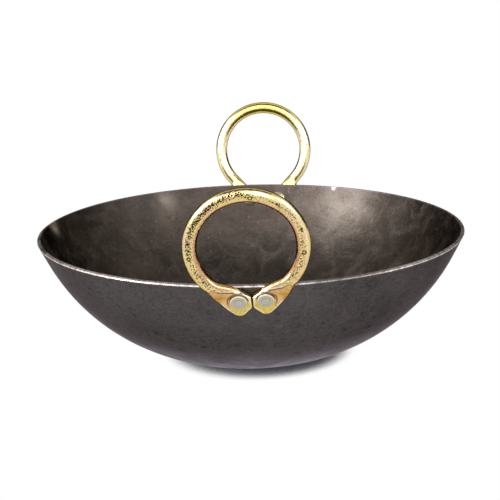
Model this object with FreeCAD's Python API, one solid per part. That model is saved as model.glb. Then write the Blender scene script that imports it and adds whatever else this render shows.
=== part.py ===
"""Kadai: a spun steel bowl with two ring handles, each held by two rivets.

Millimetres. The origin is the middle of the flat base, +Z is up, and the front handle
stands at -Y. Left and right are as seen from outside, facing the handle.
"""
import FreeCAD
import Part
import math
import os

V = FreeCAD.Vector
UP = V(0, 0, 1)

# Bowl
rim_diameter = 300.0
rim_height = 89.6
wall_thickness = 2.5
wall_straight_length = 15.6  # of the upper wall, up its slope to the rim's outer edge
base_diameter = 40.0
rim_edge_radius = 0.6
rim_edge_most_share = 0.45  # the rim's rounding never takes more of the wall than this

# Ring handles, each one bent rod with its two ends forged flat
rod_diameter = 8.8
ring_radius = 34.0  # to the middle of the rod
ring_rise = 30.2  # from the rim's outer edge to the middle of the ring, along the handle
ring_lean = 12.0  # degrees outward from the vertical
leg_angle = 46.0  # degrees round the ring from its lowest point to where a leg leaves it
front_azimuth = -90.0  # degrees about +Z from +X
back_azimuth = 85.5
front_tilt = 3.7  # degrees, the handle's own lean to its left
back_tilt = -1.2

# Lugs, the flat ends of the rod
lug_width = 18.4  # at the end, before its corners are rounded
lug_neck_width = 15.2  # where the flat starts
lug_shift = 1.4  # how far a lug's middle line lies to the outside of its rivet
lug_thickness = 4.2
lug_head_margin = 1.0  # flat that is left between a rivet's outer head and the leg
lug_end_length = 9.4  # from the rivet's middle to the end of the lug
lug_end_radius = 5.5  # the end's two corners, seen from the front
lug_edge_radius = 1.4  # rounding all round the edge
lug_edge_most_share = 0.4  # this rounding never takes more of the lug's thickness than this
lug_gap = 0.6  # between the two lugs of a handle
leg_stations_shares = (0.0, 0.3, 0.65)  # where the leg's sections lie between ring and lug
rod_flat_angle = 15.0  # degrees each side of a quarter point that become a flat of the lug

# Rivets
front_rivet_spacing = 16.0
back_rivet_spacing = 22.8
front_rivet_drop = 8.6  # from the rim's outer edge down along the wall
back_rivet_drop = 11.8
shank_diameter = 6.0
outer_head_diameter = 11.0
outer_head_top_diameter = 9.3
outer_head_height = 1.0
inner_head_diameter = 11.0
inner_head_height = 1.8

# Fits
rivet_hole_clearance = 0.1  # all round the shank
seat_clearance = 0.05  # between faces that are riveted together
neck_clearance = 0.5  # between the handle's rod and the rim that it passes
overrun = 5.0  # how far a cutting tool runs past what it cuts
joining_tolerance = 0.001  # faces and edges this close are the same where pieces are joined

# Worked out from the sizes above
rim_radius = rim_diameter / 2
base_radius = base_diameter / 2
# one arc runs from the base's edge into the straight wall, which sets the wall's slope
slope = 2 * math.atan(rim_height / (rim_radius - base_radius + wall_straight_length))
corner_run = rim_height / math.sin(slope) - wall_straight_length
bowl_arc_radius = corner_run / math.tan(slope / 2)
rim_rounding = min(rim_edge_radius, wall_thickness * rim_edge_most_share)
lug_rounding = min(lug_edge_radius, lug_thickness * lug_edge_most_share)
lug_middle = seat_clearance + lug_thickness / 2
lug_flat_length = outer_head_diameter / 2 + lug_head_margin  # from the rivet's middle back to the leg


def revolved(points_and_arcs, origin, axis, across):
    """Solid of revolution of a closed outline given as (radius, height) corners.

    An entry of three pairs is an arc: start, a point on it, end.
    """
    def place(pair):
        return origin + across * pair[0] + axis * pair[1]

    edges = []
    for entry in points_and_arcs:
        if len(entry) == 3:
            edges.append(Part.Arc(*[place(pair) for pair in entry]).toShape())
        else:
            edges.append(Part.makeLine(place(entry[0]), place(entry[1])))
    face = Part.Face(Part.Wire(edges))
    return face.revolve(origin, axis, 360)


def bowl_shell():
    """The bowl before it is drilled: flat base, one arc, straight wall, edge cut square."""
    def arc_point(radius, angle):
        return (base_radius + radius * math.sin(angle), bowl_arc_radius - radius * math.cos(angle))

    inner_arc_radius = bowl_arc_radius - wall_thickness
    outer_rim = (rim_radius, rim_height)
    inner_rim = (rim_radius - wall_thickness * math.sin(slope),
                 rim_height + wall_thickness * math.cos(slope))
    outer_arc = [arc_point(bowl_arc_radius, angle) for angle in (0, slope / 2, slope)]
    inner_arc = [arc_point(inner_arc_radius, angle) for angle in (slope, slope / 2, 0)]
    outline = [
        ((0, 0), outer_arc[0]),
        outer_arc,
        (outer_arc[2], outer_rim),
        (outer_rim, inner_rim),
        (inner_rim, inner_arc[0]),
        inner_arc,
        (inner_arc[2], (0, wall_thickness)),
        ((0, wall_thickness), (0, 0)),
    ]
    shell = revolved(outline, V(0, 0, 0), UP, V(1, 0, 0))
    lowest = rim_height - wall_thickness / 2
    rim_edges = [edge for edge in shell.Edges if edge.Closed and edge.BoundBox.ZMin > lowest]
    return shell.makeFillet(rim_rounding, rim_edges)


class WallPoint:
    """A point on the outer wall, with the directions along, up and out of the wall there."""

    def __init__(self, azimuth, drop):
        radius = rim_radius - drop * math.cos(slope)
        outward = V(math.cos(azimuth), math.sin(azimuth), 0)
        self.radius = radius
        self.out = outward
        self.side = UP.cross(outward)
        self.uphill = outward * math.cos(slope) + UP * math.sin(slope)
        self.normal = outward * math.sin(slope) - UP * math.cos(slope)
        self.point = outward * radius + UP * (rim_height - drop * math.sin(slope))
        self.curve_radius = radius / math.sin(slope)

    def at(self, height):
        """The point this far out from the wall's outer face."""
        return self.point + self.normal * height


def turned(side, uphill, tilt):
    """Both directions turned by the tilt in their own plane."""
    return (side * math.cos(tilt) + uphill * math.sin(tilt),
            uphill * math.cos(tilt) - side * math.sin(tilt))


class HandlePlan:
    """Where one handle's rivets, ring and legs lie."""

    def __init__(self, azimuth_degrees, tilt_degrees, rivet_spacing, rivet_drop):
        azimuth = math.radians(azimuth_degrees)
        self.tilt = math.radians(tilt_degrees)
        lean = math.radians(ring_lean)
        middle = WallPoint(azimuth, rivet_drop)
        self.middle = middle
        self.rivets = {}
        for name, sign in (("left", -1), ("right", 1)):
            along = sign * rivet_spacing / 2 * math.cos(self.tilt)
            rise = sign * rivet_spacing / 2 * math.sin(self.tilt)
            self.rivets[name] = WallPoint(azimuth + along / middle.radius, rivet_drop - rise)
        ring_uphill = middle.out * math.sin(lean) + UP * math.cos(lean)
        self.ring_axis = middle.out * math.cos(lean) - UP * math.sin(lean)
        self.ring_side, self.ring_up = turned(middle.side, ring_uphill, self.tilt)
        # at the rim the handle turns from the wall to its own lean
        wall_up = turned(middle.side, middle.uphill, self.tilt)[1]
        neck = middle.at(rod_diameter / 2 + neck_clearance) + wall_up * rivet_drop
        self.ring_centre = neck + self.ring_up * ring_rise
        self.leg_angle = math.radians(leg_angle)
        # a lug points from where its leg leaves the ring to its rivet
        leg_rise = ring_rise + rivet_drop - ring_radius * math.cos(self.leg_angle)
        leg_run = ring_radius * math.sin(self.leg_angle) - rivet_spacing / 2
        self.lug_angle = math.atan2(leg_rise, leg_run)

    def ring_point(self, sign):
        """Where a leg starts: its point on the ring's middle line and the way it runs."""
        angle = self.leg_angle - math.pi / 2
        spoke = self.ring_side * (sign * math.cos(angle)) + self.ring_up * math.sin(angle)
        aside = self.ring_side * (-sign * math.cos(self.leg_angle))
        way = aside - self.ring_up * math.sin(self.leg_angle)
        return self.ring_centre + spoke * ring_radius, way

    def lug_direction(self, name, sign):
        """The way the leg runs as it reaches its rivet, flat along the wall."""
        side, uphill = turned(self.rivets[name].side, self.rivets[name].uphill, self.tilt)
        return side * (-sign * math.cos(self.lug_angle)) - uphill * math.sin(self.lug_angle)


def section_wire(centre, across, through, width, thickness, corner):
    """Rounded rectangle of four corner arcs and four flats."""
    aside = width / 2 - corner
    above = thickness / 2 - corner

    def place(hand, level, angle):
        in_width = hand * aside + corner * math.cos(angle)
        in_thickness = level * above + corner * math.sin(angle)
        return centre + across * in_width + through * in_thickness

    quarter = math.pi / 2
    arcs = []
    for index, (hand, level) in enumerate(((1, 1), (-1, 1), (-1, -1), (1, -1))):
        angles = (index * quarter, index * quarter + quarter / 2, index * quarter + quarter)
        arcs.append([place(hand, level, angle) for angle in angles])
    edges = []
    for arc, following in zip(arcs, arcs[1:] + arcs[:1]):
        edges.append(Part.Arc(*arc).toShape())
        edges.append(Part.makeLine(arc[2], following[0]))
    return Part.Wire(edges)


def round_wire(centre, across, through, diameter):
    """Circle in eight arcs that match the flats and corners of a rounded rectangle."""
    radius = diameter / 2

    def place(angle):
        return centre + across * (radius * math.cos(angle)) + through * (radius * math.sin(angle))

    flat = math.radians(rod_flat_angle)
    quarter = math.pi / 2
    edges = []
    for index in range(4):
        base = index * quarter
        stops = (base + flat, base + quarter - flat, base + quarter + flat)
        for start, end in zip(stops, stops[1:]):
            edges.append(Part.Arc(place(start), place((start + end) / 2), place(end)).toShape())
    return Part.Wire(edges)


def eased(share):
    """Smooth step from 0 to 1."""
    return share * share * (3 - 2 * share)


def leg(plan, name, sign, lug):
    """One leg: round where it leaves the ring, running into the flat of its lug."""
    rivet = plan.rivets[name]
    start, start_way = plan.ring_point(sign)
    end_way = plan.lug_direction(name, sign)
    outside = rivet.normal.cross(end_way) * sign
    end = rivet.at(lug_middle) + outside * lug_shift - end_way * lug_flat_length
    length = start.distanceToPoint(end)
    wires = []
    for share in leg_stations_shares:
        blend = eased(share)
        point = (start * (1 - blend) + end * blend
                 + start_way * (length * share * (1 - share) ** 2)
                 - end_way * (length * share ** 2 * (1 - share)))
        way = (end - start) * (6 * share * (1 - share))
        way = way + start_way * (length * (1 - share) * (1 - 3 * share))
        way = way + end_way * (length * share * (3 * share - 2))
        way.normalize()
        through = plan.ring_axis * (1 - blend) + rivet.normal * blend
        through = through - way * through.dot(way)
        through.normalize()
        across = way.cross(through)
        if share == 0:
            wires.append(round_wire(point, across, through, rod_diameter))
        else:
            width = rod_diameter + (lug_neck_width - rod_diameter) * blend
            thickness = rod_diameter + (lug_thickness - rod_diameter) * blend
            corner = rod_diameter / 2 + (lug_rounding - rod_diameter / 2) * blend
            wires.append(section_wire(point, across, through, width, thickness, corner))
    start_face = min(lug.Faces, key=lambda face: face.CenterOfMass.dot(end_way))
    wires.append(start_face.OuterWire)
    return Part.makeLoft(wires, True, False)


def lug_plate(plan, name, sign):
    """The flat of a lug: widening to its end, cut square there, corners and edges rounded."""
    rivet = plan.rivets[name]
    way = plan.lug_direction(name, sign)
    across = rivet.normal.cross(way)
    back_face = rivet.at(seat_clearance) + across * (sign * lug_shift)
    taper = math.atan2((lug_width - lug_neck_width) / 2, lug_flat_length + lug_end_length)
    corner_along = lug_end_length - lug_end_radius
    side_there = lug_width / 2 - lug_end_radius * math.tan(taper)
    corner_aside = side_there - lug_end_radius / math.cos(taper)

    def place(along, aside):
        return back_face + way * along + across * aside

    def corner_point(angle, hand):
        return place(corner_along + lug_end_radius * math.cos(angle),
                     hand * (corner_aside + lug_end_radius * math.sin(angle)))

    side_angle = math.pi / 2 + taper
    corners = {}
    for hand in (-1, 1):
        corners[hand] = [corner_point(angle, hand) for angle in (side_angle, side_angle / 2, 0)]
    foot = {hand: place(-lug_flat_length, hand * lug_neck_width / 2) for hand in (-1, 1)}
    edges = [
        Part.makeLine(foot[1], foot[-1]),
        Part.makeLine(foot[-1], corners[-1][0]),
        Part.Arc(*corners[-1]).toShape(),
        Part.makeLine(corners[-1][2], corners[1][2]),
        Part.Arc(*reversed(corners[1])).toShape(),
        Part.makeLine(corners[1][0], foot[1]),
    ]
    plate = Part.Face(Part.Wire(edges)).extrude(rivet.normal * lug_thickness)
    rounded = []
    for edge in plate.Edges:
        middle = edge.CenterOfMass - back_face
        upright = abs(edge.tangentAt(edge.FirstParameter).dot(rivet.normal)) > 0.5
        if not upright and middle.dot(way) > -lug_flat_length / 2:
            rounded.append(edge)
    return plate.makeFillet(lug_rounding, rounded)


def far_side(plan, sign):
    """The tool that trims a lug to its own side of the handle's middle, half the gap short of it."""
    middle = plan.middle
    side, uphill = turned(middle.side, middle.uphill, plan.tilt)
    reach = lug_width + lug_end_length
    low = middle.at(-overrun) - uphill * reach + side * (sign * lug_gap / 2)
    across = side * (-sign * reach)
    rise = uphill * (2 * reach)
    outline = Part.makePolygon([low, low + across, low + across + rise, low + rise, low])
    return Part.Face(outline).extrude(middle.normal * (lug_thickness + 2 * overrun))


def rivet_hole(rivet):
    """The tool that drills wall and lug for one rivet."""
    start = rivet.at(-wall_thickness - overrun)
    depth = wall_thickness + lug_thickness + 2 * overrun
    return Part.makeCylinder(shank_diameter / 2 + rivet_hole_clearance, depth, start, rivet.normal)


def joined(pieces):
    """One solid from pieces that meet face to face: the faces that two of them share go."""
    faces = [face for piece in pieces for face in piece.Faces]
    middles = [face.CenterOfMass for face in faces]
    outer = []
    for face, middle in zip(faces, middles):
        twins = [other for other in middles if middle.distanceToPoint(other) < joining_tolerance]
        if len(twins) == 1:
            outer.append(face)
    shell = Part.makeShell(outer)
    shell.sewShape(joining_tolerance)
    return Part.makeSolid(shell)


def handle(plan):
    """One handle: the ring, its two legs and their rounded lug ends, drilled for the rivets."""
    start, way = plan.ring_point(1)
    rod_face = Part.Face(round_wire(start, way.cross(plan.ring_axis), plan.ring_axis, rod_diameter))
    sweep = 360 - 2 * leg_angle
    pieces = [rod_face.revolve(plan.ring_centre, plan.ring_axis, sweep)]
    for name, sign in (("left", -1), ("right", 1)):
        lug = lug_plate(plan, name, sign).cut(far_side(plan, sign))
        pieces.append(lug)
        pieces.append(leg(plan, name, sign, lug))
    body = joined(pieces)
    for rivet in plan.rivets.values():
        body = body.cut(rivet_hole(rivet))
    return body.removeSplitter()


def rivet_solid(rivet):
    """One rivet: low hammered head outside, button head inside, shank through wall and lug."""
    shank = shank_diameter / 2
    outer_seat = 2 * seat_clearance + lug_thickness
    outer_top = outer_seat + outer_head_height
    outer_radius = outer_head_diameter / 2
    top_radius = outer_head_top_diameter / 2
    inner_radius = inner_head_diameter / 2
    # the wall is hollow towards the inside, so the flat seat stands off by the hollow's depth
    hollow = inner_radius ** 2 / (2 * (rivet.curve_radius - wall_thickness))
    inner_seat = -wall_thickness - hollow - seat_clearance
    inner_top = inner_seat - inner_head_height
    dome_radius = (inner_radius ** 2 + inner_head_height ** 2) / (2 * inner_head_height)
    dome_half = math.asin(inner_radius / dome_radius) / 2
    dome_middle_height = inner_top + dome_radius * (1 - math.cos(dome_half))
    dome_middle = (dome_radius * math.sin(dome_half), dome_middle_height)
    outline = [
        ((0, inner_top), dome_middle, (inner_radius, inner_seat)),
        ((inner_radius, inner_seat), (shank, inner_seat)),
        ((shank, inner_seat), (shank, outer_seat)),
        ((shank, outer_seat), (outer_radius, outer_seat)),
        ((outer_radius, outer_seat), (top_radius, outer_top)),
        ((top_radius, outer_top), (0, outer_top)),
        ((0, outer_top), (0, inner_top)),
    ]
    return revolved(outline, rivet.point, rivet.normal, rivet.side)


def main():
    os.makedirs("parts", exist_ok=True)
    plans = {
        "front": HandlePlan(front_azimuth, front_tilt, front_rivet_spacing, front_rivet_drop),
        "back": HandlePlan(back_azimuth, back_tilt, back_rivet_spacing, back_rivet_drop),
    }
    nodes = {}
    bowl = bowl_shell()
    for place, plan in plans.items():
        nodes[place + "_handle"] = handle(plan)
        for side, rivet in plan.rivets.items():
            bowl = bowl.cut(rivet_hole(rivet))
            nodes[place + "_" + side + "_rivet"] = rivet_solid(rivet)
    nodes["bowl"] = bowl
    for name, shape in nodes.items():
        shape.exportStep("parts/" + name + ".step")
        print(name, len(shape.Solids), shape.isValid(), round(shape.Volume, 1))


main()
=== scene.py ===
"""Kadai: a dark steel bowl with two gold ring handles, standing on a white studio floor.

Metres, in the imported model's own frame: the origin is the middle of the flat base, +Z is up,
and the front handle stands at -Y. Left and right are as seen from outside, facing a handle.
"""
import math
from collections import namedtuple

import bmesh
import bpy
import numpy as np
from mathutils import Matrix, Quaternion, Vector, noise


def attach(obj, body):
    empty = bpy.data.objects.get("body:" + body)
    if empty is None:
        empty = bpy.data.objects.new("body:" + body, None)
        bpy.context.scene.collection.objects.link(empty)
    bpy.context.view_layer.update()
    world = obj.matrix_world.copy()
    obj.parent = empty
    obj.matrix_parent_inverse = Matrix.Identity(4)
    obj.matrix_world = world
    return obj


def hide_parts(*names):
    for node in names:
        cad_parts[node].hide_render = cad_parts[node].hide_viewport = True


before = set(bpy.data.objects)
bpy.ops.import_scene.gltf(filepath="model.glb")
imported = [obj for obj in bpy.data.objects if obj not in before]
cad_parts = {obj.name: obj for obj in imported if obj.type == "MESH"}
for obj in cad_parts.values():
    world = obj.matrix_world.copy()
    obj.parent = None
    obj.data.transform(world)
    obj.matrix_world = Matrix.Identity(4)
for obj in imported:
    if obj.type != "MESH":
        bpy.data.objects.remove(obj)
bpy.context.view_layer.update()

mm = 0.001
up = np.array((0.0, 0.0, 1.0))

# Bowl
rim_radius = 150.0 * mm
rim_height = 89.6 * mm
wall_thickness = 2.5 * mm
wall_straight_length = 15.6 * mm
base_radius = 20.0 * mm
rim_edge_radius = 0.55 * mm
bowl_columns = 960
arc_rows = 120
straight_rows = 20
edge_rows = 7
base_rows = 6
# Slow waves in the sheet, which grow over the lowest part and die out towards the rim
wave_height = 0.06 * mm
wave_size = 40 * mm
wave_growth = 12 * mm
wave_decay = 22 * mm

# Wear on the rim's inner corner, the middle of its edge and its outer corner
inner_wear = 0.65
middle_wear = 0.3
outer_wear = 1.0
wear_reach = 0.2 * mm
# How worn the rim is round the bowl: azimuth in degrees and strength
rim_wear_round = (
    (-180, 0.45), (-168, 0.8), (-155, 1.0), (-100, 0.95), (-76, 0.75), (-69, 0.35), (-60, 0.5),
    (-50, 1.0), (-15, 1.0), (0, 0.8), (15, 0.4), (90, 0.2), (165, 0.3), (180, 0.45),
)
# A bright nick: azimuth and width in degrees along the rim, and its spot on the inside below
nick_azimuth = 63.0
nick_width = 0.9
nick_drop = 0.3 * mm
nick_radius = 1.1 * mm
nick_strength = 0.8

# Dents in the bowl's outside: azimuth in degrees, height, radius and depth
dents = (
    (-58.1, 59.4 * mm, 1.6 * mm, 0.45 * mm),
    (-48.1, 53.5 * mm, 1.4 * mm, 0.40 * mm),
    (-86.1, 64.2 * mm, 1.1 * mm, -0.30 * mm),
    (-82.8, 39.2 * mm, 2.6 * mm, 0.35 * mm),
    (-124.4, 60.9 * mm, 1.8 * mm, 0.45 * mm),
    (-100.9, 69.1 * mm, 1.6 * mm, 0.45 * mm),
    (-119.5, 49.4 * mm, 2.2 * mm, -0.35 * mm),
    (-128.4, 66.5 * mm, 1.7 * mm, 0.35 * mm),
    (-116.0, 42.9 * mm, 2.2 * mm, 0.35 * mm),
    (-105.9, 39.0 * mm, 2.0 * mm, 0.30 * mm),
    (-61.7, 47.4 * mm, 2.0 * mm, 0.30 * mm),
)
# how much painted shade darkens each listed dent
dent_painted_shade = 0.4
# Smaller dents at random, their depth as a share of their radius
small_dents = 170
small_dent_heights = (12 * mm, 76 * mm)
small_dent_radii = (0.9 * mm, 2.2 * mm)
small_dent_depths = (0.03, 0.14)
# painted shade in the smaller dents, growing with their depth
small_dent_painted_shade = 2.5
# Rubbed light patches inside, the widest of them a painted sheen, and dark spots outside: azimuth,
# height, radius and strength
rubbed_patches_and_sheen = (
    (168.0, 88.6 * mm, 5.0 * mm, 2.0),
    (118.0, 84.2 * mm, 9.0 * mm, 0.25),
    (58.0, 79.0 * mm, 24.0 * mm, 0.18),
)
dark_spots = (
    (-106.4, 80.0 * mm, 4.0 * mm, 0.8),
    (-103.5, 77.0 * mm, 3.0 * mm, 0.7),
    (-59.2, 82.2 * mm, 4.5 * mm, 0.8),
)

# Handles
rod_radius = 4.4 * mm
ring_radius = 34.0 * mm
ring_rise = 30.2 * mm
ring_lean = math.radians(12.0)
leg_angle = math.radians(46.0)
neck_clearance = 0.5 * mm
lug_width = 18.4 * mm
lug_neck_width = 15.2 * mm
lug_shift = 1.4 * mm
lug_thickness = 4.2 * mm
lug_flat_length = 6.5 * mm
lug_end_length = 9.4 * mm
lug_end_radius = 5.5 * mm
lug_rounding = 1.3 * mm
lug_gap = 0.6 * mm
trim_rounding = 0.8 * mm
# Azimuth, tilt, and the spacing of the two rivets and their drop from the rim
handle_plans = {
    "front": (math.radians(-90.0), math.radians(3.7), 16.0 * mm, 8.6 * mm),
    "back": (math.radians(85.5), math.radians(-1.2), 22.8 * mm, 11.8 * mm),
}
ring_rows = 520
leg_rows = 64
lug_rows = 64
section_columns = 112
# Unevenness left by the forging: size and height, coarse and fine
forged_coarse = (13 * mm, 0.12 * mm)
forged_fine = (3.0 * mm, 0.03 * mm)

# The facet that is ground on each leg's front, and how far past its start it fades in
facet_slant = 0.2
facet_start = 21.5 * mm
facet_edge = 0.3 * mm
facet_fade = 2 * mm
# The worn ridge beside it, which also carries a painted highlight: where it runs, as a share of the way
# from the middle to the inner side
ridge_height = 0.5 * mm
ridge_share_on_rod = 0.34
ridge_share_on_lug = 0.86
ridge_share_width = 0.075

# Marks on the front handle: turn round the ring in degrees from its neck, share of the way round
# the rod from its inner side over its front, and radius
ring_pits = (
    (188.7, 0.239, 1.05 * mm),
    (84.8, 0.284, 1.00 * mm),
    (278.0, 0.261, 1.10 * mm),
)
deep_pits = (
    (216.3, 0.273, 1.10 * mm),
    (218.5, 0.262, 0.80 * mm),
    (252.2, 0.295, 1.20 * mm),
    (255.0, 0.300, 0.80 * mm),
    (306.5, 0.193, 0.90 * mm),
)
# Rows of dots: first and last turn, first and last share, and count
dotted_rows = (
    (228.0, 240.0, 0.284, 0.296, 6),
    (262.0, 272.0, 0.239, 0.216, 5),
    (70.0, 50.0, 0.216, 0.205, 8),
    (208.0, 226.0, 0.262, 0.278, 6),
)
dot_radius = 0.52 * mm
mark_darkness = 0.95
# Specks at random: groups of first and last turn, spread of their shares, and count; then the
# ranges of their radii and darkness
front_specks = ((95, 188, 0.035, 300), (45, 315, 0.05, 120)), (0.22 * mm, 0.42 * mm), (0.4, 0.95)
back_specks = ((45, 315, 0.07, 160),), (0.22 * mm, 0.5 * mm), (0.3, 0.8)
back_speck_share = 0.3
pit_depth = 0.25  # as a share of its radius
pit_reach_rows = 24
# The middle of the speckled band: turns and shares
speckled_turns = (45.0, 70.0, 100.0, 125.0, 150.0, 178.0, 200.0, 315.0)
speckled_shares = (0.21, 0.25, 0.285, 0.285, 0.295, 0.335, 0.27, 0.21)
speckle_spread = 0.08
# How dense it is: turns and densities
speckle_density = (
    (30, 0.2), (50, 0.7), (75, 0.5), (95, 0.9), (110, 1.0), (182, 1.1),
    (192, 0.5), (200, 0.25), (245, 0.35), (285, 0.6), (305, 0.6), (330, 0.2),
)
back_density = 0.2
# The painted highlight band beside it: the turns where it begins, ends and is weaker
pale_offset = 0.10
pale_spread = 0.04
painted_highlight_strength = 0.6
pale_start = (60, 105)
pale_end = (255, 300)
pale_gap, pale_gap_width = 172, 20
# Grooves that the hammer left on the lugs round each rivet, painted dark as shade in the crevice by the
# head: radius, width and strength
upper_groove = (5.9 * mm, 0.45 * mm, 1.4)
outer_groove = (7.0 * mm, 0.35 * mm, 1.1)
groove_depth = 0.12 * mm

# Rivets
seat_clearance = 0.05 * mm
shank_radius = 3.0 * mm
outer_head_radius = 5.5 * mm
outer_head_top_radius = 4.75 * mm
outer_head_height = 1.0 * mm
inner_head_radius = 5.5 * mm
inner_head_height = 1.8 * mm
rivet_columns = 72
head_rows = 26
# Unevenness of the hammered heads: size and height, of their faces and of their outlines
blow_size, blow_height = 2.6 * mm, 0.10 * mm
outline_size, outline_height = 4.0 * mm, 0.22 * mm
# The outer heads' faces: how far they lie below the top, and ripples from their middle to the edge
face_drop = 0.12 * mm
ripple_height = 0.05 * mm
ripple_turn = 19.0
# width of the painted highlight on the outer heads' upper edge
bevel_highlight_width = 0.28 * mm
# How dark the inner heads have become, all but one
inner_tarnish = 0.7
untarnished_rivet = "back_left_rivet"

# Colours of the steel sheet
outside_dark = (0.054, 0.049, 0.048)
outside_grey = (0.092, 0.084, 0.082)
# painted light on the outside's left side, and a painted bounce from the floor near its base
outside_left_painted_light = (0.125, 0.115, 0.112)
outside_low_painted_bounce = (0.125, 0.112, 0.122)
inside_dark = (0.036, 0.029, 0.024)
inside_brown = (0.068, 0.054, 0.045)
patch_brown = (0.110, 0.093, 0.084)
streak_dark = (0.026, 0.022, 0.021)
scratch_grey = (0.170, 0.155, 0.150)
grain_grey = (0.150, 0.138, 0.134)
# dark spots, and painted shade in the dents
spot_and_dent_shade_black = (0.008, 0.007, 0.007)
# pale rubbed patches, and a painted sheen
rubbed_and_sheen_pale = (0.48, 0.41, 0.35)
bare_dull = (0.55, 0.44, 0.39)
bare_bright = (0.88, 0.81, 0.78)
# Its tints where it is seen at a low angle
outside_tint = (0.42, 0.39, 0.41)
low_tint = (0.95, 0.89, 0.98)
inside_tint = (0.09, 0.08, 0.07)
spot_and_dent_shade_tint = (0.05, 0.05, 0.05)
white = (1.0, 1.0, 1.0)

# Colours of the gold plating
gold_yellow = (0.80, 0.62, 0.25)
gold_pink = (0.83, 0.56, 0.32)
gold_green = (0.65, 0.59, 0.22)
# painted reflection of the bowl's inside on the rod's inner side
inner_copper_painted_reflection = (0.62, 0.34, 0.19)
facet_orange = (0.76, 0.47, 0.15)
facet_pink = (0.76, 0.44, 0.22)
end_yellow = (0.70, 0.56, 0.11)
# cream painted highlight on the rings
painted_highlight_cream = (0.95, 0.90, 0.62)
# painted shade along the rod's inner and outer edges
side_painted_shade = (0.24, 0.14, 0.045)
ground_brown = (0.30, 0.15, 0.06)
# worn ridge, partly a painted highlight
ridge_cream_wear_and_highlight = (1.0, 0.94, 0.76)
seam_brown = (0.10, 0.05, 0.02)
# pits, and painted shade in the grooves round the rivets
pit_and_crevice_shade_black = (0.014, 0.010, 0.005)
gold_tint = (0.08, 0.045, 0.02, 1.0)

# Colours of the rivets
rivet_grey = (0.47, 0.44, 0.41)
rivet_green = (0.47, 0.48, 0.33)
rivet_gold = (0.74, 0.60, 0.27)
# painted highlight on the outer heads' upper edge
rivet_painted_highlight = (1.0, 0.95, 0.80)
# ring marks and tarnish, and painted shade in the crevice round each head
rivet_mark_and_shade = (0.09, 0.07, 0.035)
rivet_tint = (0.5, 0.45, 0.35, 1.0)

# Studio
floor_size = 6.0
shadow_reach = 0.016
shadow_lean = (-0.29, -0.11, 0.95)
shadow_grey = (0.045, 0.045, 0.056)
room_light = 0.3
lamp_aim = Vector((0.0, 0.0, 0.06))
# Place, size and level of each lamp
lamps = {
    "left_softbox": ((-1.05, -0.45, 0.75), (0.8, 0.8), 11.5),
    "right_softbox": ((1.05, -0.50, 0.75), (0.5, 0.6), 5.0),
    "front_softbox": ((-0.10, -1.30, 1.10), (1.7, 1.5), 2.6),
}
# Place and size of each dark card
cards = {
    "ceiling_card": ((0.0, 0.0, 1.8), (2.4, 0.9)),
    "left_card": ((-1.25, 1.45, 0.55), (1.5, 1.1)),
    "right_card": ((1.45, 1.20, 0.55), (2.2, 1.1)),
    "back_card": ((0.0, 1.90, 0.75), (2.4, 1.3)),
}

# Camera, fitted to the photograph
camera_place = Vector((0.00161, -0.96307, 0.32083))
camera_azimuth = math.radians(0.146)
camera_elevation = math.radians(14.382)
camera_roll = math.radians(-1.544)
camera_lens = 100.69
sensor_width = 36.0

# Worked out from the sizes above
slope = 2 * math.atan(rim_height / (rim_radius - base_radius + wall_straight_length))
bowl_arc_radius = (rim_height / math.sin(slope) - wall_straight_length) / math.tan(slope / 2)
half_lug = lug_thickness / 2
lug_middle = seat_clearance + half_lug
first_ring_row = lug_rows + leg_rows - 1
first_turn = math.degrees(leg_angle)
turns_per_row = (360 - 2 * first_turn) / (ring_rows - 1)


# Helpers

def unit(vector):
    return vector / np.linalg.norm(vector)


def eased(share):
    return share * share * (3 - 2 * share)


def stepped(value, low, high):
    """0 below low and 1 above high, smoothly between."""
    return eased(np.clip((value - low) / (high - low), 0.0, 1.0))


def faded(distance, width):
    """1 where the distance is 0, fading over the width to both sides."""
    return np.exp(-(distance / width) ** 2)


def soft_least(first, second, rounding):
    """The lesser of two lengths, rounded over where they are near each other."""
    apart = np.maximum(rounding - np.abs(first - second), 0.0)
    return np.minimum(first, second) - apart * apart / (4 * rounding)


def field(points, size, seed):
    """Smooth noise of about -1 to 1 at each point, with features of this size."""
    shift = np.array((seed * 3.1, seed * 7.7, seed * 1.3))
    places = points.reshape(-1, 3) / size + shift
    values = [noise.fractal(Vector(place), 1.0, 2.0, 3) for place in places]
    return np.array(values).reshape(points.shape[:-1])


def outward_normals(grid):
    """Normals of a tube's grid of rings, pointing out of it."""
    along = np.gradient(grid, axis=0)
    around = np.roll(grid, -1, axis=1) - np.roll(grid, 1, axis=1)
    normals = np.cross(around, along)
    normals /= np.maximum(np.linalg.norm(normals, axis=2, keepdims=True), 1e-12)
    middle = grid.mean(axis=1, keepdims=True)
    return normals * np.sign((normals * (grid - middle)).sum(axis=2, keepdims=True))


def new_object(name, data):
    made = bpy.data.objects.new(name, data)
    bpy.context.scene.collection.objects.link(made)
    return made


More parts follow.
